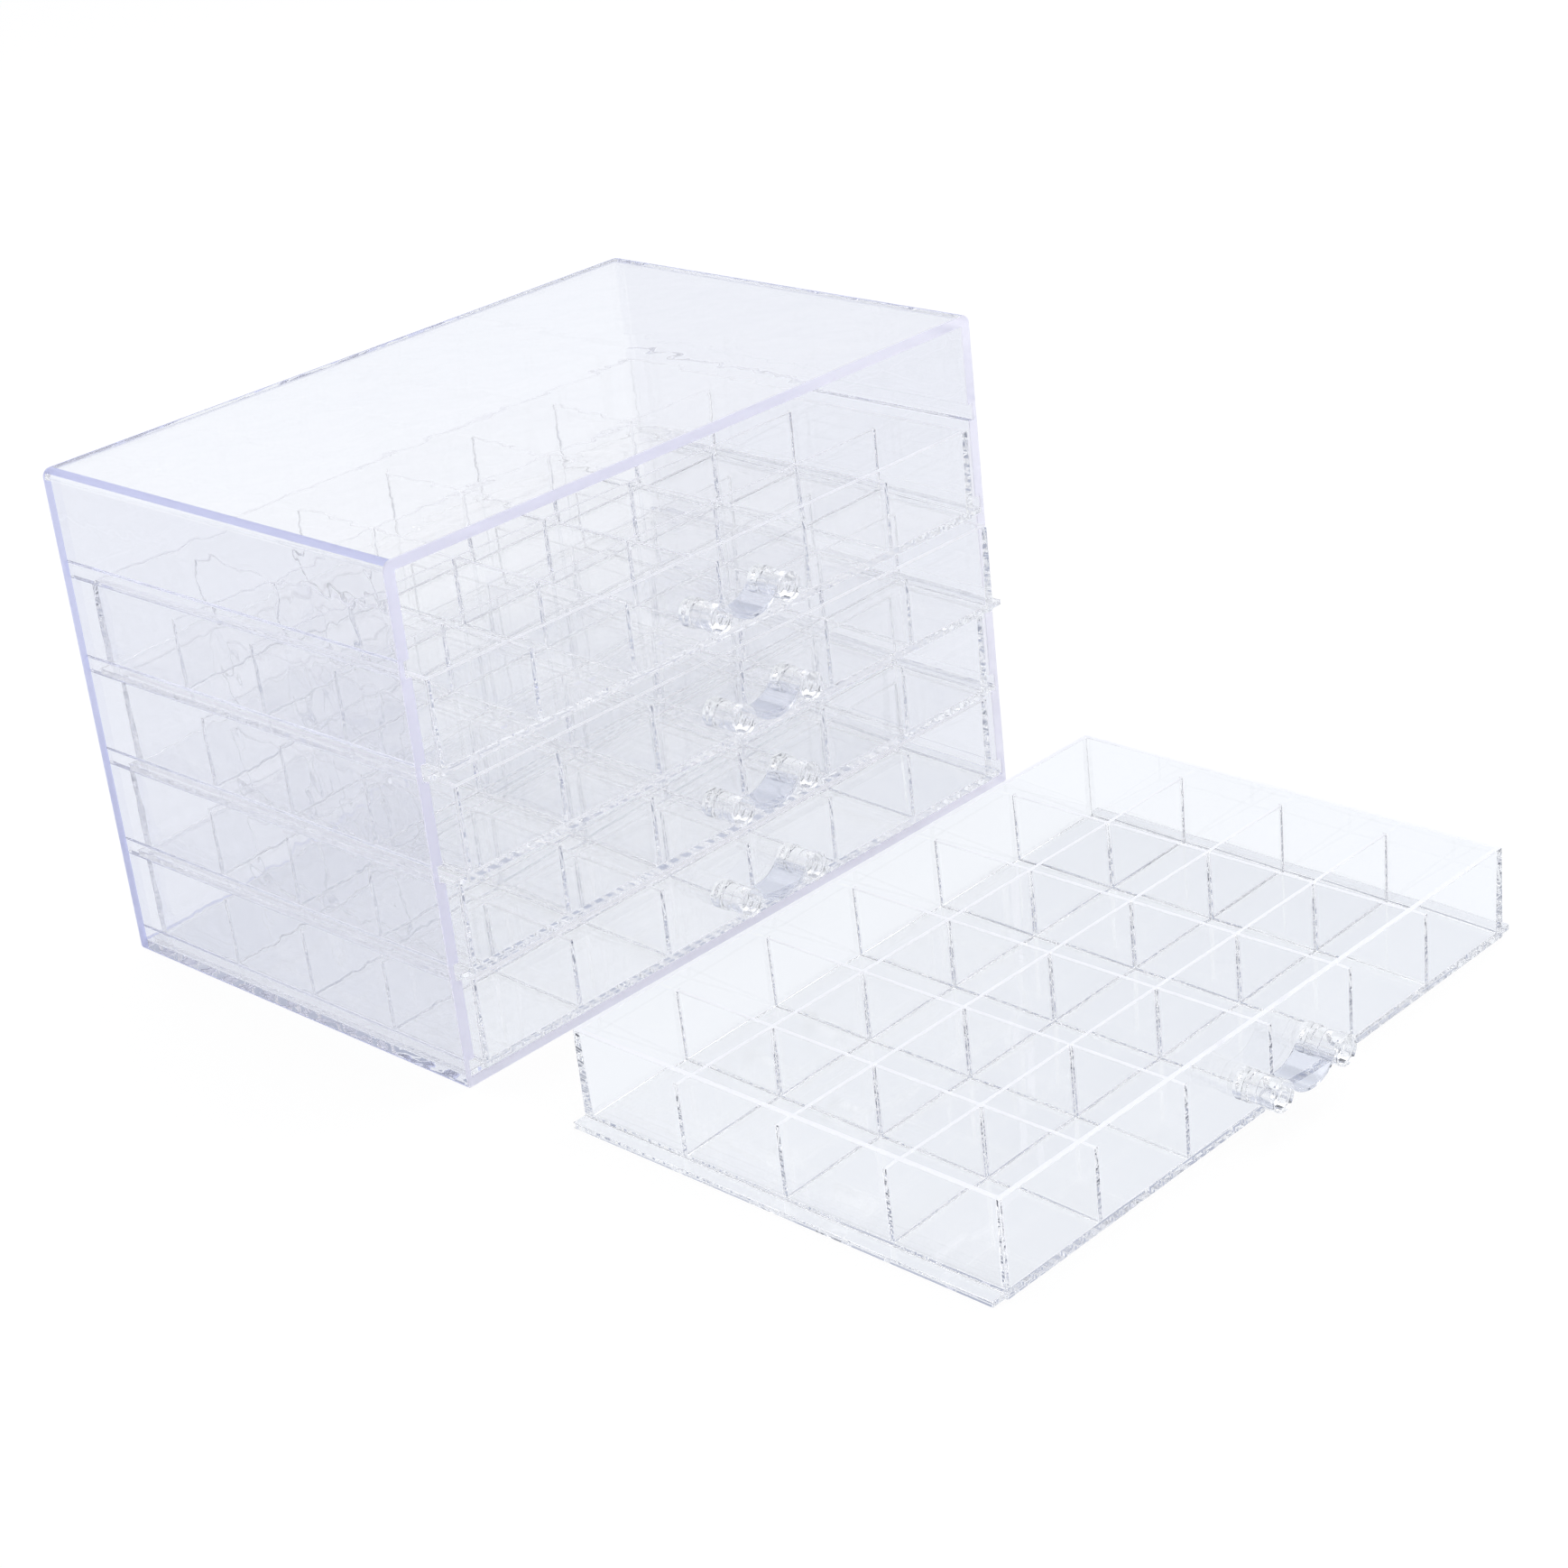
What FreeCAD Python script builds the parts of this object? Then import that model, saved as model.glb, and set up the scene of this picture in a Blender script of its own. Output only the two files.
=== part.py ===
import FreeCAD, Part
import math
import os
from FreeCAD import Vector

# Clear five-level organizer box: an open-fronted case with five trays that slide in grooves
# cut in its two side walls.  Millimetres.  X is the width, Y runs from the open front (-Y)
# to the back (+Y), Z is up.  The origin is the centre of the case's underside.
# Four trays stand in the case.  The top one has been taken out and stands on the table
# in front of it, so its bay is empty.

# Case
levels = 5
case_width = 235.0
case_depth = 157.0
level_pitch = 30.3
side_wall = 3.8
top_wall = 3.3
floor_wall = 3.2
back_wall = 3.0
case_edge_radius = 3.0

# Grooves in the side walls, one pair to a level, and the tray flange that runs in them
groove_depth = 2.0
groove_play = 3.4
flange_thickness = 1.7
flange_side_clearance = 0.5
flange_front_setback = 0.8
runner_clearance = 0.1

# Tray: one moulded piece with a grid of compartments
tray_side_gap = 3.1
tray_back_gap = 4.0
tray_headroom = 1.8
tray_wall = 2.0
tray_floor = 1.8
columns = 6
rows = 4
divider_thickness = 1.3
divider_drop = 5.0

# Handle: two stepped posts joined by a thin hanging ribbon, pinned through the front wall
handle_height = 13.4
post_spacing = 28.2
post_length = 13.4
shaft_radius = 4.0
collar_radius = 4.5
rear_collar_length = 1.4
front_collar_length = 2.4
dimple_radius = 1.4
dimple_depth = 2.4
spigot_radius = 1.8
spigot_clearance = 0.1
ribbon_thickness = 1.1
ribbon_sag = 3.8
ribbon_bite = 0.5
ribbon_wall_gap = 0.4
ribbon_front_setback = 0.6

# How far a cut runs past the face that it opens
cut_overrun = 1.0

# Where the trays stand: how far each housed tray is out of the flush position, and the gap
# between the case's front and the tray that stands on the table
rest_out = {2: 1.8, 3: 6.6, 4: 1.6, 5: 0.5}
taken_out_level = 1
taken_out_gap = 40.6

# Worked out from the sizes above
case_height = floor_wall + levels * level_pitch + top_wall
case_front = -case_depth / 2
inner_half = case_width / 2 - side_wall
groove_half = inner_half + groove_depth
groove_height = flange_thickness + groove_play
tray_half = inner_half - tray_side_gap
flange_half = groove_half - flange_side_clearance
tray_depth = case_depth - back_wall - tray_back_gap
tray_height = level_pitch - tray_headroom
column_pitch = (2 * tray_half - 2 * tray_wall + divider_thickness) / columns
row_pitch = (tray_depth - 2 * tray_wall + divider_thickness) / rows


def block(x0, x1, y0, y1, z0, z1):
    """Axis-aligned solid between two corners."""
    return Part.makeBox(x1 - x0, y1 - y0, z1 - z0, Vector(x0, y0, z0))


def groove_bottom(level):
    """Height of the face that a level's flanges slide on; level 1 is the top one."""
    return floor_wall + (levels - level) * level_pitch


def rounded_body():
    """The case's outside: a block with its top and back edges rounded."""
    body = block(-case_width / 2, case_width / 2, case_front, -case_front, 0, case_height)
    picked = []
    for edge in body.Edges:
        box = edge.BoundBox
        along_top_side = box.ZMin > case_height - 1e-6 and box.XLength < 1e-6
        on_back = box.YMin > -case_front - 1e-6
        on_floor = box.ZMax < 1e-6
        if along_top_side or (on_back and not on_floor):
            picked.append(edge)
    return body.makeFillet(case_edge_radius, picked)


def case_shell():
    """Case: cavity open at the front, with a pair of grooves for each level."""
    cavity_back = -case_front - back_wall
    past_front = case_front - cut_overrun
    cavity = block(-inner_half, inner_half, past_front, cavity_back,
                   floor_wall, case_height - top_wall)
    for level in range(1, levels + 1):
        z = groove_bottom(level)
        cavity = cavity.fuse(block(-groove_half, groove_half, past_front, cavity_back,
                                   z, z + groove_height))
    return rounded_body().cut(cavity.removeSplitter())


def tray():
    """Tray with its front face at y = 0 and its underside at z = 0."""
    shell = block(-tray_half, tray_half, 0, tray_depth, 0, tray_height)
    shell = shell.cut(block(-tray_half + tray_wall, tray_half - tray_wall,
                            tray_wall, tray_depth - tray_wall,
                            tray_floor, tray_height + cut_overrun))
    flange = block(-flange_half, flange_half, flange_front_setback, tray_depth,
                   0, flange_thickness)
    divider_top = tray_height - divider_drop
    pieces = [flange]
    for column in range(1, columns):
        x = -tray_half + tray_wall - divider_thickness / 2 + column * column_pitch
        pieces.append(block(x - divider_thickness / 2, x + divider_thickness / 2,
                            tray_wall / 2, tray_depth - tray_wall / 2,
                            tray_floor / 2, divider_top))
    for row in range(1, rows):
        y = tray_wall - divider_thickness / 2 + row * row_pitch
        pieces.append(block(-tray_half + tray_wall / 2, tray_half - tray_wall / 2,
                            y - divider_thickness / 2, y + divider_thickness / 2,
                            tray_floor / 2, divider_top))
    solid = shell.fuse(pieces).removeSplitter()
    for side in (-1, 1):
        hole = Part.makeCylinder(spigot_radius + spigot_clearance, tray_wall + 2 * cut_overrun,
                                 Vector(side * post_spacing / 2, -cut_overrun, handle_height),
                                 Vector(0, 1, 0))
        solid = solid.cut(hole)
    return solid


def post(side):
    """One post of the handle, with its collars, its front dimple and its spigot."""
    x = side * post_spacing / 2
    outward = Vector(0, -1, 0)
    root = Vector(x, 0, handle_height)
    front = Vector(x, -post_length, handle_height)
    shaft = Part.makeCylinder(shaft_radius, post_length, root, outward)
    rear_collar = Part.makeCylinder(collar_radius, rear_collar_length, root, outward)
    front_collar = Part.makeCylinder(collar_radius, front_collar_length, front, -outward)
    spigot = Part.makeCylinder(spigot_radius, tray_wall + rear_collar_length,
                               Vector(x, -rear_collar_length, handle_height), -outward)
    dimple = Part.makeCylinder(dimple_radius, dimple_depth, front, -outward)
    return shaft.fuse([rear_collar, front_collar, spigot]).cut(dimple)


def ribbon():
    """Curved strip that hangs between the posts, touching both along its length."""
    half_span = post_spacing / 2
    reach = ribbon_sag + ribbon_thickness / 2 + shaft_radius - ribbon_bite
    centre_up = (half_span ** 2 - reach ** 2) / (2 * reach)
    middle_radius = centre_up + ribbon_sag
    outer = middle_radius + ribbon_thickness / 2
    inner = middle_radius - ribbon_thickness / 2
    lean = math.atan2(half_span, centre_up)
    y = -post_length + ribbon_front_setback

    def at(radius, angle):
        return Vector(radius * math.sin(angle), y,
                      handle_height + centre_up - radius * math.cos(angle))

    outline = Part.Wire([
        Part.Arc(at(outer, -lean), at(outer, 0), at(outer, lean)).toShape(),
        Part.LineSegment(at(outer, lean), at(inner, lean)).toShape(),
        Part.Arc(at(inner, lean), at(inner, 0), at(inner, -lean)).toShape(),
        Part.LineSegment(at(inner, -lean), at(outer, -lean)).toShape()])
    width = post_length - ribbon_front_setback - ribbon_wall_gap
    return Part.Face(outline).extrude(Vector(0, width, 0))


def handle():
    """Handle in the tray's own place: the tray's front face is at y = 0."""
    return post(-1).fuse([post(1), ribbon()]).removeSplitter()


def tray_place(level):
    """Where a tray's front face and underside stand."""
    if level == taken_out_level:
        return Vector(0, case_front - taken_out_gap - tray_depth, 0)
    return Vector(0, case_front - rest_out[level], groove_bottom(level) + runner_clearance)


def write(name, shape, place=Vector(0, 0, 0)):
    """Save one solid in its place."""
    placed = shape.copy()
    placed.translate(place)
    solid = placed.Solids[0]
    if len(placed.Solids) != 1 or not solid.isValid():
        raise RuntimeError(name + " is not one valid solid")
    solid.exportStep("parts/" + name + ".step")
    box = solid.BoundBox
    print(f"{name:16s} {solid.Volume / 1000:8.2f} cm3  "
          f"x {box.XMin:8.2f} {box.XMax:8.2f}  y {box.YMin:8.2f} {box.YMax:8.2f}  "
          f"z {box.ZMin:7.2f} {box.ZMax:7.2f}")


os.makedirs("parts", exist_ok=True)
write("case_shell", case_shell())
one_tray = tray()
one_handle = handle()
for level in range(1, levels + 1):
    write(f"drawer_{level}_tray", one_tray, tray_place(level))
    write(f"drawer_{level}_handle", one_handle, tray_place(level))
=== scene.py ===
import bmesh
import bpy
import math
from mathutils import Matrix, Vector


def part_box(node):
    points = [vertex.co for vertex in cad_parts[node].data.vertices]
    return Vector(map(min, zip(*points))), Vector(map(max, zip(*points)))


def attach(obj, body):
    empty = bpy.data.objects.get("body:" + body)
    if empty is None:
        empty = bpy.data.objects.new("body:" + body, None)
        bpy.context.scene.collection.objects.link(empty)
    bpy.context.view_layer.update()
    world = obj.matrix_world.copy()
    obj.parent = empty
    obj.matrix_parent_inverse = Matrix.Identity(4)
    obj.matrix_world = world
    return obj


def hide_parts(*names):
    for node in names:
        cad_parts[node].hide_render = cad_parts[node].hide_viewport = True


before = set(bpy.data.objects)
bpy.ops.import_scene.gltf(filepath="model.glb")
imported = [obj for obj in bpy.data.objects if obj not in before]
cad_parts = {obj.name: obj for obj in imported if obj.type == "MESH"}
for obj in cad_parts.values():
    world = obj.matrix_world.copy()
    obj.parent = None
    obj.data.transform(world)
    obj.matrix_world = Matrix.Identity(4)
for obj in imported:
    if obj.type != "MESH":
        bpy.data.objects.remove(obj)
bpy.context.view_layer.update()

scene = bpy.context.scene

# Camera: stands to the left of the open front and looks down on the case's roof, so that the
# left wall, the front and the tray on the table are all in view.
lens = 73.36            # millimetres, on the sensor below
sensor = 36.0
camera_place = Vector((-0.58858, -0.70942, 0.44179))
camera_looks = Vector((0.62931, 0.65530, -0.41779))
camera_up = Vector((0.36871, 0.22148, 0.90277))

camera_data = bpy.data.cameras.new("camera")
camera_data.lens = lens
camera_data.sensor_width = sensor
camera_data.clip_start = 0.01
camera = bpy.data.objects.new("camera", camera_data)
scene.collection.objects.link(camera)
camera_right = camera_looks.cross(camera_up).normalized()
camera_up = camera_right.cross(camera_looks).normalized()
camera.matrix_world = Matrix.Translation(camera_place) @ Matrix(
    (camera_right, camera_up, -camera_looks.normalized())).transposed().to_4x4()
scene.camera = camera


# Case: one deep box of general-purpose polystyrene, open at the front, moulded with a pair of
# grooves for each tray pulled straight out of its side walls.  The roof and back edges are
# rounded, the underside is flat.
mm = 0.001
roof_wall = 3.3 * mm
floor_wall = 3.2 * mm
side_wall = 3.8 * mm
back_wall = 3.0 * mm
roof_edge_radius = 3.0 * mm
foot_edge_radius = 0.9 * mm
least_radius = 0.05 * mm
case_outer_break = 0.3 * mm
case_root_radius = 0.4 * mm
levels = 5
level_pitch = 30.3 * mm
groove_depth = 2.0 * mm
groove_height = 5.1 * mm
overrun = 1.0 * mm             # how far a core runs past the face that it cuts
back_band = 3.0 * mm           # beside the rounded back edge
arc_steps = 12
edge_steps = 4
sharp_angle = math.radians(40)
flat_angle = math.radians(0.5)
weld_distance = 0.001 * mm
square_on = 0.999              # share of a normal along an axis, from which a face is square to it
band_turn = 0.5                # least share of a normal along x in the upright edge's band
roof_band_turn = 0.6           # least share of a normal along z in the roof edge's band
polystyrene_ior = 1.59
wave_length = 14 * mm          # of the waves that the melt leaves in large faces

case_low, case_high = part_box("case_shell")
inner_half = case_high[0] - side_wall
groove_half = inner_half + groove_depth
cavity_back = case_high[1] - back_wall
band_start = case_high[1] - roof_edge_radius - back_band


def linear(code):
    """sRGB hex code to linear red, green, blue and an alpha of one."""
    parts = [int(code[n:n + 2], 16) / 255 for n in (1, 3, 5)]
    return [p / 12.92 if p <= 0.04045 else ((p + 0.055) / 1.055) ** 2.4 for p in parts] + [1.0]


def add_node(tree, kind, sockets={}, **settings):
    """Adds a node.  settings are its properties; sockets gives each input a value or a link."""
    node = tree.nodes.new(kind)
    for name, value in settings.items():
        setattr(node, name, value)
    for name, value in sockets.items():
        if isinstance(value, bpy.types.NodeSocket):
            tree.links.new(value, node.inputs[name])
        else:
            node.inputs[name].default_value = value
    return node


def clear_polystyrene(name, colour, wave_height):
    """Water-clear moulding from polished steel: colour is what one surface lets through.  The melt
    leaves long shallow waves in large faces, which bend what is seen through them."""
    material = bpy.data.materials.new(name)
    material.use_nodes = True
    tree = material.node_tree
    tree.nodes.clear()
    place = add_node(tree, "ShaderNodeTexCoord")
    long_waves = add_node(tree, "ShaderNodeTexNoise", {
        "Vector": place.outputs["Object"], "Scale": 1 / wave_length, "Detail": 1.5, "Roughness": 0.4})
    wavy_surface = add_node(tree, "ShaderNodeBump", {
        "Strength": 1.0, "Distance": wave_height, "Height": long_waves.outputs["Fac"]})
    plastic = add_node(tree, "ShaderNodeBsdfPrincipled", {
        "Base Color": linear(colour), "Roughness": 0.0, "IOR": polystyrene_ior,
        "Transmission Weight": 1.0, "Normal": wavy_surface.outputs["Normal"]})
    add_node(tree, "ShaderNodeOutputMaterial", {"Surface": plastic.outputs["BSDF"]})
    return material


def satin_with_painted_glow(name, colour, roughness, clearness, painted_glow):
    """Satin finish of a moulding's narrow edges, with a painted glow: the edge gives off light in its own
    colour, standing in for the light that the walls gather and let out there, so an edge looks solid and a
    little brighter than the walls.  The last argument is the strength of that painted glow."""
    material = bpy.data.materials.new(name)
    material.use_nodes = True
    tree = material.node_tree
    tree.nodes.clear()
    finish = add_node(tree, "ShaderNodeBsdfPrincipled", {
        "Base Color": linear(colour), "Roughness": roughness, "IOR": polystyrene_ior,
        "Transmission Weight": clearness, "Emission Color": linear(colour), "Emission Strength": painted_glow})
    add_node(tree, "ShaderNodeOutputMaterial", {"Surface": finish.outputs["BSDF"]})
    return material


case_material = clear_polystyrene("clear_polystyrene_case", "#fefeff", 0.06 * mm)
# Side walls: greyer than the rest of the case, a painted shade that darkens them; their waves are deeper.
case_side_shade_material = clear_polystyrene("clear_polystyrene_case_sides_painted_shade", "#f1f1f5", 0.35 * mm)
# Periwinkle edges: painted colour and painted glow, standing in for the tinted light seen along the length
# of the walls.
case_painted_edge_material = satin_with_painted_glow(
    "satin_periwinkle_edges_painted_light", "#c5c9f3", roughness=0.4, clearness=0.8, painted_glow=0.15)
# Front rims: lavender satin with a painted glow, a painted highlight that brightens the rim lines.
case_rim_glow_material = satin_with_painted_glow(
    "satin_lavender_rims_painted_highlight", "#e9e7f2", roughness=0.3, clearness=0.6, painted_glow=0.33)


def rounded_outline(corners, radii):
    """Points round a closed outline of square corners, each rounded to its own radius."""
    outline = []
    for n, (corner, radius) in enumerate(zip(corners, radii)):
        corner = Vector(corner)
        back = (Vector(corners[n - 1]) - corner).normalized()
        ahead = (Vector(corners[(n + 1) % len(corners)]) - corner).normalized()
        centre = corner + (back + ahead) * radius
        for step in range(arc_steps + 1):
            turn = math.pi / 2 * step / arc_steps
            outline.append(centre - ahead * radius * math.cos(turn) - back * radius * math.sin(turn))
    return outline


def skin(name, rings):
    """Closed mesh object stretched over rings of points, with a flat cap at each end."""
    bm = bmesh.new()
    rows = [[bm.verts.new(point) for point in ring] for ring in rings]
    for row, after in zip(rows, rows[1:]):
        for n in range(len(row)):
            bm.faces.new((row[n - 1], row[n], after[n], after[n - 1]))
    bm.faces.new(rows[0])
    bm.faces.new(rows[-1])
    bmesh.ops.recalc_face_normals(bm, faces=bm.faces)
    mesh = bpy.data.meshes.new(name)
    bm.to_mesh(mesh)
    bm.free()
    shape = bpy.data.objects.new(name, mesh)
    scene.collection.objects.link(shape)
    return shape


def block(name, low, high):
    """Plain block, used as a core or a blank."""
    outline = [(low[0], low[1]), (high[0], low[1]), (high[0], high[1]), (low[0], high[1])]
    return skin(name, [[(x, y, z) for x, y in outline] for z in (low[2], high[2])])


def mould_tree(name, steps):
    """Geometry Nodes that work a blank.  Each step repeats a shape along a row and cuts it out of
    the blank or joins it on: steps maps the shape's name to DIFFERENCE or UNION."""
    tree = bpy.data.node_groups.new(name, "GeometryNodeTree")
    face = tree.interface
    face.new_socket("Blank", in_out="INPUT", socket_type="NodeSocketGeometry")
    for shape in steps:
        face.new_socket(shape, in_out="INPUT", socket_type="NodeSocketObject")
        face.new_socket(shape + " first place", in_out="INPUT", socket_type="NodeSocketVector")
        face.new_socket(shape + " count", in_out="INPUT", socket_type="NodeSocketInt")
        face.new_socket(shape + " pitch", in_out="INPUT", socket_type="NodeSocketVector")
    face.new_socket("Plastic", in_out="INPUT", socket_type="NodeSocketMaterial")
    face.new_socket("Moulding", in_out="OUTPUT", socket_type="NodeSocketGeometry")
    given = add_node(tree, "NodeGroupInput").outputs
    solid = given["Blank"]
    for shape, operation in steps.items():
        row = add_node(tree, "GeometryNodeMeshLine", {
            "Count": given[shape + " count"], "Start Location": given[shape + " first place"],
            "Offset": given[shape + " pitch"]})
        one = add_node(tree, "GeometryNodeObjectInfo", {"Object": given[shape]})
        several = add_node(tree, "GeometryNodeInstanceOnPoints", {
            "Points": row.outputs[0], "Instance": one.outputs["Geometry"]})
        loose = add_node(tree, "GeometryNodeRealizeInstances", {0: several.outputs[0]})
        worked = add_node(tree, "GeometryNodeMeshBoolean", operation=operation, solver="EXACT")
        tree.links.new(solid, worked.inputs["Mesh 1" if operation == "DIFFERENCE" else "Mesh 2"])
        tree.links.new(loose.outputs[0], worked.inputs["Mesh 2"])
        solid = worked.outputs["Mesh"]
    plain = add_node(tree, "GeometryNodeRealizeInstances", {0: solid})
    finished = add_node(tree, "GeometryNodeSetMaterial", {
        "Geometry": plain.outputs[0], "Material": given["Plastic"]})
    add_node(tree, "NodeGroupOutput", {"Moulding": finished.outputs[0]})
    return tree


def evaluated_mesh(shape):
    """Plain mesh of an object with its modifiers worked in."""
    bpy.context.view_layer.update()
    return bpy.data.meshes.new_from_object(shape.evaluated_get(bpy.context.evaluated_depsgraph_get()))


def run_tree(blank, tree, values):
    """Works the blank through the tree and keeps the result as its plain mesh."""
    work = blank.modifiers.new("mould", "NODES")
    work.node_group = tree
    for item in tree.interface.items_tree:
        if item.name in values:
            work[item.identifier] = values[item.name]
    blank.data = evaluated_mesh(blank)
    blank.modifiers.clear()


def round_edges(piece, radius_of, is_kept=lambda edge: False):
    """Rounds a moulding's sharp edges, each to the radius that the rule gives for it.  Edges inside
    a flat face are dissolved first, but for those kept as borders between finishes."""
    bm = bmesh.new()
    bm.from_mesh(piece.data)
    bmesh.ops.remove_doubles(bm, verts=bm.verts, dist=weld_distance)
    bmesh.ops.dissolve_limit(bm, angle_limit=flat_angle, verts=bm.verts,
                             edges=[edge for edge in bm.edges if not is_kept(edge)])
    weight = bm.edges.layers.float.new("bevel_weight_edge")
    radii = {edge: radius_of(edge) for edge in bm.edges
             if edge.is_manifold and edge.calc_face_angle() > sharp_angle}
    widest = max(radii.values())
    for edge, radius in radii.items():
        edge[weight] = radius / widest
    for face in bm.faces:
        face.smooth = True
    bm.to_mesh(piece.data)
    bm.free()
    rounding = piece.modifiers.new("rounded edges", "BEVEL")
    rounding.width = widest
    rounding.segments = edge_steps
    rounding.limit_method = "WEIGHT"
    rounding.use_clamp_overlap = False
    keep_faces_flat(piece)


def keep_faces_flat(piece):
    """Normals that follow the large faces, so that only the rounded edges bend light."""
    flat = piece.modifiers.new("flat faces stay flat", "WEIGHTED_NORMAL")
    flat.weight = 100
    flat.keep_sharp = True
    piece.data = evaluated_mesh(piece)
    piece.modifiers.clear()


def dress(piece, finishes, finish_of):
    """Gives every face of a piece the finish that the rule picks for it."""
    piece.data.materials.clear()
    for finish in finishes:
        piece.data.materials.append(finish)
    for face in piece.data.polygons:
        face.material_index = finishes.index(finish_of(face))


def drop(*shapes):
    """Throws away cores and other shapes that were only used to make a piece."""
    for shape in shapes:
        bpy.data.objects.remove(shape)


def case_ring(y, inset):
    """Outline of the case at one depth, drawn in from the full size."""
    x = case_high[0] - inset
    top = case_high[2] - inset
    foot = case_low[2] + inset * foot_edge_radius / roof_edge_radius
    roof_radius = max(roof_edge_radius - inset, least_radius)
    foot_radius = max(foot_edge_radius - inset, least_radius)
    outline = rounded_outline([(x, foot), (x, top), (-x, top), (-x, foot)],
                              [foot_radius, roof_radius, roof_radius, foot_radius])
    return [(point[0], y, point[1]) for point in outline]


def band_border(edge):
    """Edge of a side wall's outer face where the band along the upright back edge starts."""
    return all(abs(vert.co.y - band_start) < 2 * weld_distance
               and abs(vert.co.x) > case_high[0] - weld_distance for vert in edge.verts)


def case_finish(face):
    """Clear walls, with a greyer tint of painted shade on the side walls' faces.  Satin with painted light
    on the front rims, round the foot, on the rounded roof and back edges and on the band beside the left
    upright edge: the periwinkle colour and glow there are painted, standing in for the tinted light seen
    through the end of the back wall.  The band is painted on the left upright edge only, where the view
    meets it from outside; the right upright edge is met from inside, where such an edge stays clear."""
    at_side = abs(face.center.x) > case_high[0] - roof_edge_radius
    at_roof = face.center.z > case_high[2] - roof_edge_radius
    at_back = face.center.y > case_high[1] - roof_edge_radius
    at_foot = face.center.z < case_low[2] + foot_edge_radius and face.normal.z > -square_on
    if face.center.y < case_low[1] + case_outer_break:
        return case_rim_glow_material
    in_band = face.center.y > band_start and abs(face.normal.x) > band_turn
    if at_side and not at_roof and (at_back or in_band):
        # Painted light: the periwinkle band goes on the left upright edge only, where the view meets it.
        return case_painted_edge_material if face.center.x < 0 else case_material
    if at_side and at_roof and not at_back and not in_band:
        return case_painted_edge_material if face.normal.z > roof_band_turn else case_material
    if at_foot or at_side + at_roof + at_back >= 2:
        return case_painted_edge_material
    # Painted shade: the side walls' faces take a greyer tint than the roof.
    if abs(face.normal.x) > square_on and abs(face.center.x) > inner_half - case_root_radius:
        return case_side_shade_material
    return case_material


case_rings = [case_ring(case_low[1], 0), case_ring(band_start, 0)]
for step in range(arc_steps + 1):
    turn = math.pi / 2 * step / arc_steps
    case_rings.append(case_ring(case_high[1] - roof_edge_radius * (1 - math.sin(turn)),
                                roof_edge_radius * (1 - math.cos(turn))))
case = skin("case_moulding", case_rings)
cavity_core = block("cavity_core", (-inner_half, case_low[1] - overrun, case_low[2] + floor_wall),
                    (inner_half, cavity_back, case_high[2] - roof_wall))
groove_core = block("groove_core", (-groove_half, case_low[1] - overrun, 0),
                    (groove_half, cavity_back, groove_height))
run_tree(case, mould_tree("case_mould", {"Cavity": "DIFFERENCE", "Groove": "DIFFERENCE"}), {
    "Plastic": case_material, "Cavity": cavity_core, "Cavity count": 1,
    "Groove": groove_core, "Groove count": levels, "Groove pitch": (0, 0, level_pitch),
    "Groove first place": (0, 0, case_low[2] + floor_wall)})
drop(cavity_core, groove_core)
round_edges(case, lambda edge: case_outer_break if edge.is_convex else case_root_radius, band_border)
dress(case, [case_material, case_side_shade_material, case_painted_edge_material, case_rim_glow_material], case_finish)
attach(case, "case")
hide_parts("case_shell")


# Trays: five alike, each one moulding with a floor, four walls, runner flanges along both
# sides and a grid of low dividers.  Walls and dividers are drafted, so they are thinner at
# the top than at the floor.
tray_rim_wall = 1.6 * mm
tray_foot_wall = 2.3 * mm
tray_floor = 1.8 * mm
divider_top_thickness = 1.1 * mm
divider_foot_thickness = 1.5 * mm
divider_drop = 5.0 * mm
column_count = 6
row_count = 4
tray_corner_radius = 0.4 * mm
flange_thickness = 1.7 * mm
flange_reach = 4.6 * mm
flange_front_setback = 0.8 * mm
flange_corner_radius = 1.6 * mm
post_spacing = 28.2 * mm
handle_height = 13.4 * mm
spigot_hole_radius = 1.9 * mm
hole_sides = 24
tray_outer_break = 0.15 * mm
tray_root_radius = 0.3 * mm
corner_reach = 1.0 * mm        # from an outer side, within which an upright edge is a corner
facing_up = 0.3                # share of a normal along z, from which a face counts as a top

tray_material = clear_polystyrene("clear_polystyrene_trays", "#ffffff", 0.02 * mm)
# Tray rims: near-white satin with a painted glow, a painted highlight along the tops of walls and dividers.
tray_rim_glow_material = satin_with_painted_glow(
    "satin_tray_rims_painted_highlight", "#fafaff", roughness=0.3, clearness=0.75, painted_glow=0.22)
tray_low, tray_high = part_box("drawer_1_tray")
tray_depth = tray_high[1] - tray_low[1]
tray_height = tray_high[2] - tray_low[2]
flange_half = tray_high[0]
tray_half = flange_half - flange_reach


def slab(outline, z):
    """Ring of an outline at one height."""
    return [(point[0], point[1], z) for point in outline]


def tapered_sheet(name, length, height, foot, top, along_y):
    """Upright sheet of a divider on z = 0, thicker at its foot, centred on the origin in plan."""
    rings = []
    for z, thickness in ((0, foot), (height, top)):
        half = (thickness / 2, length / 2) if along_y else (length / 2, thickness / 2)
        corners = [(-half[0], -half[1]), (half[0], -half[1]), (half[0], half[1]), (-half[0], half[1])]
        rings.append(slab(corners, z))
    return skin(name, rings)


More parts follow.
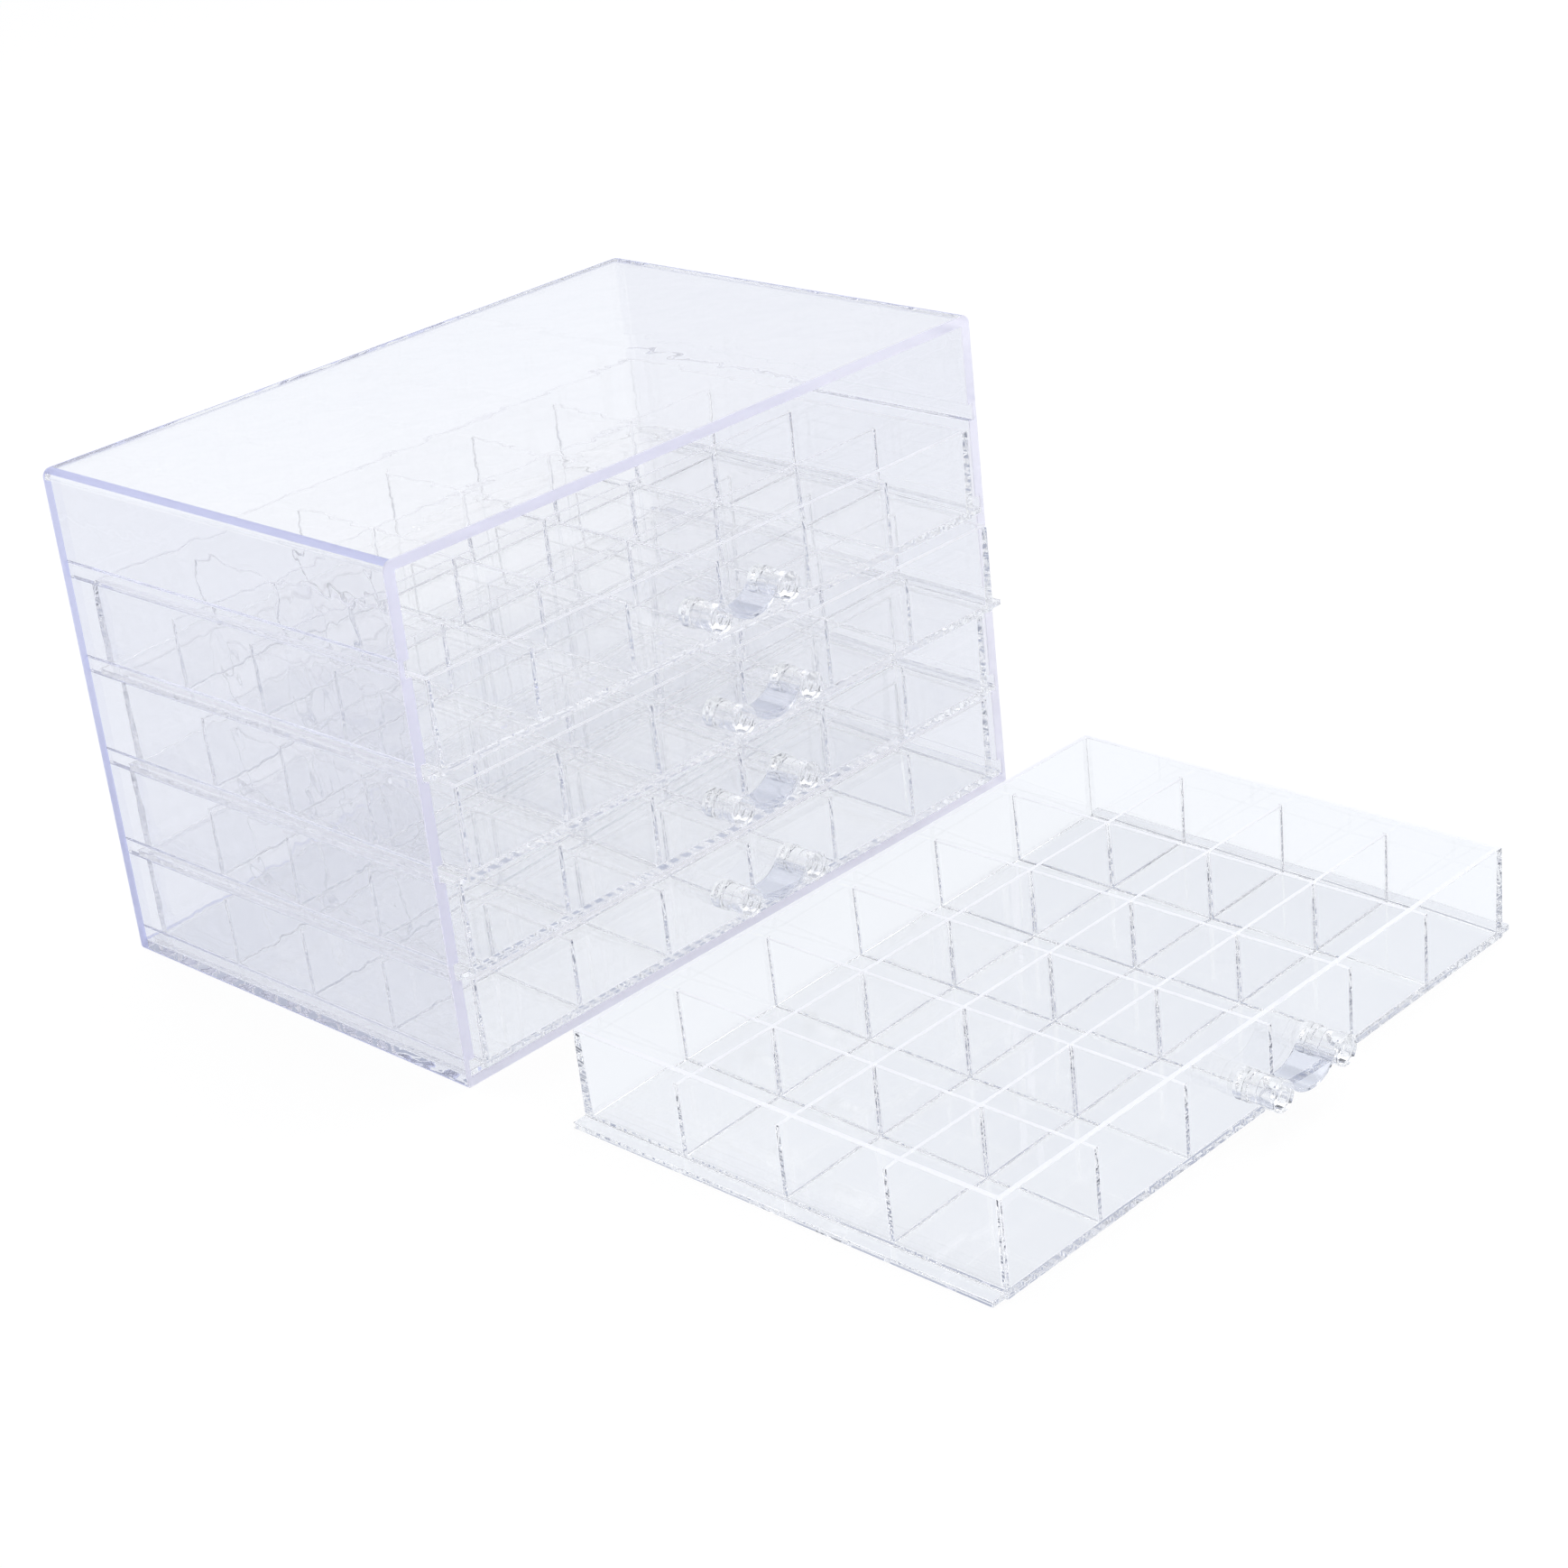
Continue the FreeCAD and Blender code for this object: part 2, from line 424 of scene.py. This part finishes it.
tray = block("tray", (-tray_half, 0, 0), (tray_half, tray_depth, tray_height))
flange = block("flange", (-flange_half, flange_front_setback, 0),
               (flange_half, tray_depth, flange_thickness))
tub_rings = []
for z, wall in ((tray_floor, tray_foot_wall), (tray_height + overrun, tray_rim_wall)):
    x, y = tray_half - wall, tray_depth / 2 - wall
    tub_rings.append([(i * x, tray_depth / 2 + j * y, z) for i, j in ((-1, -1), (1, -1), (1, 1), (-1, 1))])
tub = skin("tub_core", tub_rings)
mean_wall = (tray_rim_wall + tray_foot_wall) / 2
mean_divider = (divider_top_thickness + divider_foot_thickness) / 2
column_pitch = (2 * (tray_half - mean_wall) + mean_divider) / column_count
row_pitch = (tray_depth - 2 * mean_wall + mean_divider) / row_count
divider_foot = tray_floor / 2
divider_height = tray_height - divider_drop - divider_foot
column_divider = tapered_sheet("column_divider", tray_depth - mean_wall, divider_height,
                               divider_foot_thickness, divider_top_thickness, True)
row_divider = tapered_sheet("row_divider", 2 * tray_half - mean_wall, divider_height,
                            divider_foot_thickness, divider_top_thickness, False)
hole_core = skin("hole_core", [
    [(spigot_hole_radius * math.cos(math.tau * n / hole_sides), y,
      spigot_hole_radius * math.sin(math.tau * n / hole_sides)) for n in range(hole_sides)]
    for y in (-overrun, tray_foot_wall + overrun)])
run_tree(tray, mould_tree("tray_mould", {
    "Flange": "UNION", "Tub": "DIFFERENCE", "Column divider": "UNION", "Row divider": "UNION",
    "Spigot hole": "DIFFERENCE"}), {
    "Plastic": tray_material, "Flange": flange, "Flange count": 1, "Tub": tub, "Tub count": 1,
    "Column divider": column_divider, "Column divider count": column_count - 1,
    "Column divider pitch": (column_pitch, 0, 0),
    "Column divider first place": (-column_pitch * (column_count / 2 - 1), tray_depth / 2, divider_foot),
    "Row divider": row_divider, "Row divider count": row_count - 1, "Row divider pitch": (0, row_pitch, 0),
    "Row divider first place": (0, tray_depth / 2 - row_pitch * (row_count / 2 - 1), divider_foot),
    "Spigot hole": hole_core, "Spigot hole count": 2, "Spigot hole pitch": (post_spacing, 0, 0),
    "Spigot hole first place": (-post_spacing / 2, 0, handle_height)})
drop(flange, tub, column_divider, row_divider, hole_core)


def tray_edge_radius(edge):
    """Roots are the widest; upright outer corners come next; rims and divider tops stay crisp."""
    middle = (edge.verts[0].co + edge.verts[1].co) / 2
    upright = abs(edge.verts[0].co.z - edge.verts[1].co.z) > tray_outer_break
    if not edge.is_convex:
        return tray_root_radius
    if upright and abs(middle.x) > flange_half - corner_reach and middle.y > tray_depth / 2:
        return flange_corner_radius
    if upright and abs(middle.x) > tray_half - corner_reach:
        return tray_corner_radius
    return tray_outer_break


def tray_finish(face):
    """Clear walls and floor; satin with a painted glow along the top of the walls and dividers, a painted
    highlight that draws their tops as bright lines.
    """
    top = face.center.z > divider_foot + divider_height - 2 * tray_outer_break
    return tray_rim_glow_material if top and face.normal.z > facing_up else tray_material


round_edges(tray, tray_edge_radius)
dress(tray, [tray_material, tray_rim_glow_material], tray_finish)
for level in range(1, levels + 1):
    name = f"drawer_{level}_tray"
    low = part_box(name)[0]
    piece = bpy.data.objects.new(name + "_moulding", tray.data.copy())
    piece.data.transform(Matrix.Translation((0, low[1], low[2])))
    scene.collection.objects.link(piece)
    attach(piece, f"drawer_{level}")
    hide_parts(name)
drop(tray)


# Handles: one small moulding to a tray, two stepped posts with a thin ribbon hanging between
# them.  A spigot on each post is glued into a hole in the tray's front wall, and each post's
# front collar has a small blind hole.
post_sides = 64
post_profile = [          # distance in front of the tray, radius; millimetres
    (-1.9, 0.02), (-1.9, 1.5), (-1.7, 1.75), (0.05, 1.75), (0.05, 4.3), (0.11, 4.44), (0.25, 4.5),
    (4.2, 4.5), (4.35, 4.44), (4.45, 4.25), (4.6, 4.05), (4.9, 4.0), (10.2, 4.05), (10.3, 4.2),
    (10.36, 4.42), (10.5, 4.5), (13.1, 4.5), (13.32, 4.42), (13.4, 4.2), (13.4, 1.9), (13.32, 1.76),
    (13.1, 1.7), (10.9, 1.6), (10.75, 1.4), (10.7, 0.02)]
ribbon_thickness = 1.1 * mm
ribbon_sag = 3.8 * mm
ribbon_bite = 0.5 * mm
ribbon_wall_gap = 0.4 * mm
ribbon_front_setback = 0.6 * mm
ribbon_edge_break = 0.25 * mm
ribbon_steps = 28
shaft_radius = 4.0 * mm
ribbon_end = 4.6 * mm          # from a post's middle, where the ribbon leaves it
no_waves = 0.0                 # the handle's faces are too small for them

handle_material = clear_polystyrene("clear_polystyrene_handles", "#ffffff", no_waves)
ribbon_material = clear_polystyrene("clear_polystyrene_ribbons", "#eceef5", no_waves)
post_length = tray_low[1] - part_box("drawer_1_handle")[0][1]
reach = ribbon_sag + ribbon_thickness / 2 + shaft_radius - ribbon_bite
centre_up = ((post_spacing / 2) ** 2 - reach ** 2) / (2 * reach)
ribbon_radius = centre_up + ribbon_sag
lean = math.atan2(post_spacing / 2, centre_up)
ribbon_front = ribbon_front_setback - post_length
ribbon_half = ribbon_thickness / 2
ribbon_section = rounded_outline(
    [(ribbon_front, -ribbon_half), (-ribbon_wall_gap, -ribbon_half),
     (-ribbon_wall_gap, ribbon_half), (ribbon_front, ribbon_half)], [ribbon_edge_break] * 4)
ribbon_rings = []
for step in range(ribbon_steps + 1):
    angle = lean * (2 * step / ribbon_steps - 1)
    ribbon_rings.append([((ribbon_radius + point[1]) * math.sin(angle), point[0],
                          centre_up - (ribbon_radius + point[1]) * math.cos(angle))
                         for point in ribbon_section])
handle = skin("handle", ribbon_rings)
post = skin("post", [[(radius * mm * math.cos(math.tau * n / post_sides), -out * mm,
                       radius * mm * math.sin(math.tau * n / post_sides)) for n in range(post_sides)]
                     for out, radius in post_profile])
run_tree(handle, mould_tree("handle_mould", {"Post": "UNION"}), {
    "Plastic": handle_material, "Post": post, "Post count": 2, "Post first place": (-post_spacing / 2, 0, 0),
    "Post pitch": (post_spacing, 0, 0)})
drop(post)
handle.data.polygons.foreach_set("use_smooth", [True] * len(handle.data.polygons))
handle.data.set_sharp_from_angle(angle=sharp_angle)
keep_faces_flat(handle)


def handle_finish(face):
    """Clear posts; the thin ribbon between them is a little greyer."""
    return ribbon_material if abs(face.center.x) < post_spacing / 2 - ribbon_end else handle_material


dress(handle, [handle_material, ribbon_material], handle_finish)
for level in range(1, levels + 1):
    name = f"drawer_{level}_handle"
    low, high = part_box(name)
    piece = bpy.data.objects.new(name + "_moulding", handle.data.copy())
    piece.data.transform(Matrix.Translation((0, low[1] + post_length, (low[2] + high[2]) / 2)))
    scene.collection.objects.link(piece)
    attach(piece, f"drawer_{level}")
    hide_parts(name)
drop(handle)


# Floor and light: a wide white table in a white room, lit by two large soft lamps.  What the
# clear pieces show of the room is drawn in its bands: pale near the table, grey overhead, white
# at the top, and a dark doorway behind the viewer that gives the rounded parts their dark lines.
floor_drop = 0.3 * mm
floor_reach = 4.0
table_glow = 0.95              # of the white that plastic shows of the table
table_in_shade = 0.10          # share of the lamps' light that the seen table adds, to keep shadows
room_bands = {                 # height of a direction, colour
    0.10: "#dadeea", 0.34: "#fcfdff", 0.44: "#b6bccf", 0.54: "#aab0c4",
    0.64: "#484b57", 0.84: "#484b57", 0.92: "#ffffff"}
doorway_direction = (-0.69, -0.72, 0.0)
doorway_turn = (0.45, 0.70)    # a direction's share toward the doorway, from its edge to full dark
doorway_height = (0.04, 0.12)  # height of a direction, from the table up to full dark
lamp_places = {"soft_lamp_right": (0.81, -0.20, 1.08), "soft_lamp_back": (-0.07, 0.75, 1.08)}
lamp_aim = Vector((0, -0.1, 0.08))
lamp_size = 1.0
lamp_power = 5
light_bounces = 1024           # a look through the case passes a great many clear faces
clear_passes = 64

floor_material = bpy.data.materials.new("white_table")
floor_material.use_nodes = True
floor_tree = floor_material.node_tree
floor_tree.nodes.clear()
seen = add_node(floor_tree, "ShaderNodeLightPath")
seen_or_mirrored = add_node(floor_tree, "ShaderNodeMath", {
    0: seen.outputs["Is Camera Ray"], 1: seen.outputs["Is Glossy Ray"]}, operation="ADD")
seen_at_all = add_node(floor_tree, "ShaderNodeMath", {
    0: seen_or_mirrored.outputs[0], 1: seen.outputs["Is Transmission Ray"]}, operation="ADD", use_clamp=True)
paint = add_node(floor_tree, "ShaderNodeBsdfDiffuse", {"Color": linear("#f4f4f6")})
shade = add_node(floor_tree, "ShaderNodeMix", {
    0: seen.outputs["Is Camera Ray"], 6: linear("#f6f9fe"), 7: linear("#ffffff")}, data_type="RGBA")
glow = add_node(floor_tree, "ShaderNodeEmission", {"Color": shade.outputs[2], "Strength": table_glow})
thin_paint = add_node(floor_tree, "ShaderNodeBsdfDiffuse", {"Color": [table_in_shade] * 3 + [1.0]})
bright = add_node(floor_tree, "ShaderNodeAddShader", {0: glow.outputs[0], 1: thin_paint.outputs[0]})
table_top = add_node(floor_tree, "ShaderNodeMixShader", {
    0: seen_at_all.outputs[0], 1: paint.outputs[0], 2: bright.outputs[0]})
add_node(floor_tree, "ShaderNodeOutputMaterial", {"Surface": table_top.outputs[0]})
floor_mesh = bpy.data.meshes.new("table")
floor_mesh.from_pydata([(x * floor_reach, y * floor_reach, -floor_drop)
                        for x, y in ((-1, -1), (1, -1), (1, 1), (-1, 1))], [], [(0, 1, 2, 3)])
floor_mesh.materials.append(floor_material)
table = bpy.data.objects.new("table", floor_mesh)
scene.collection.objects.link(table)

world = bpy.data.worlds.new("white_room")
scene.world = world
world.use_nodes = True
room = world.node_tree
room.nodes.clear()
look = add_node(room, "ShaderNodeTexCoord")
height = add_node(room, "ShaderNodeSeparateXYZ", {0: look.outputs["Generated"]})
bands = add_node(room, "ShaderNodeValToRGB", {"Fac": height.outputs["Z"]})
stops = bands.color_ramp.elements
stops[0].position, stops[1].position = min(room_bands), max(room_bands)
for place in sorted(room_bands)[1:-1]:
    stops.new(place)
for stop, place in zip(stops, sorted(room_bands)):
    stop.color = linear(room_bands[place])
toward_doorway = add_node(room, "ShaderNodeVectorMath", {
    0: look.outputs["Generated"], 1: doorway_direction}, operation="DOT_PRODUCT")
dark_side = add_node(room, "ShaderNodeMapRange", {
    "Value": toward_doorway.outputs["Value"], "From Min": doorway_turn[0], "From Max": doorway_turn[1],
    "To Min": 0.0, "To Max": 1.0}, interpolation_type="SMOOTHSTEP")
over_table = add_node(room, "ShaderNodeMapRange", {
    "Value": height.outputs["Z"], "From Min": doorway_height[0], "From Max": doorway_height[1],
    "To Min": 0.0, "To Max": 1.0}, interpolation_type="SMOOTHSTEP")
doorway = add_node(room, "ShaderNodeMath", {
    0: dark_side.outputs[0], 1: over_table.outputs[0]}, operation="MULTIPLY")
room_colour = add_node(room, "ShaderNodeMix", {
    0: doorway.outputs[0], 6: bands.outputs["Color"], 7: linear("#16181c")}, data_type="RGBA")
room_light = add_node(room, "ShaderNodeBackground", {"Color": room_colour.outputs[2], "Strength": 1.0})
backdrop = add_node(room, "ShaderNodeBackground", {"Color": linear("#ffffff"), "Strength": 1.0})
path = add_node(room, "ShaderNodeLightPath")
picked = add_node(room, "ShaderNodeMixShader", {
    0: path.outputs["Is Camera Ray"], 1: room_light.outputs[0], 2: backdrop.outputs[0]})
add_node(room, "ShaderNodeOutputWorld", {"Surface": picked.outputs[0]})

for name, place in lamp_places.items():
    lamp_data = bpy.data.lights.new(name, "AREA")
    lamp_data.size = lamp_size
    lamp_data.energy = lamp_power
    lamp = bpy.data.objects.new(name, lamp_data)
    lamp.location = place
    lamp.rotation_euler = (lamp_aim - Vector(place)).to_track_quat("-Z", "Y").to_euler()
    lamp.visible_camera = False
    scene.collection.objects.link(lamp)

scene.view_settings.view_transform = "Standard"
scene.cycles.max_bounces = light_bounces
scene.cycles.transmission_bounces = light_bounces
scene.cycles.glossy_bounces = light_bounces
scene.cycles.transparent_max_bounces = clear_passes
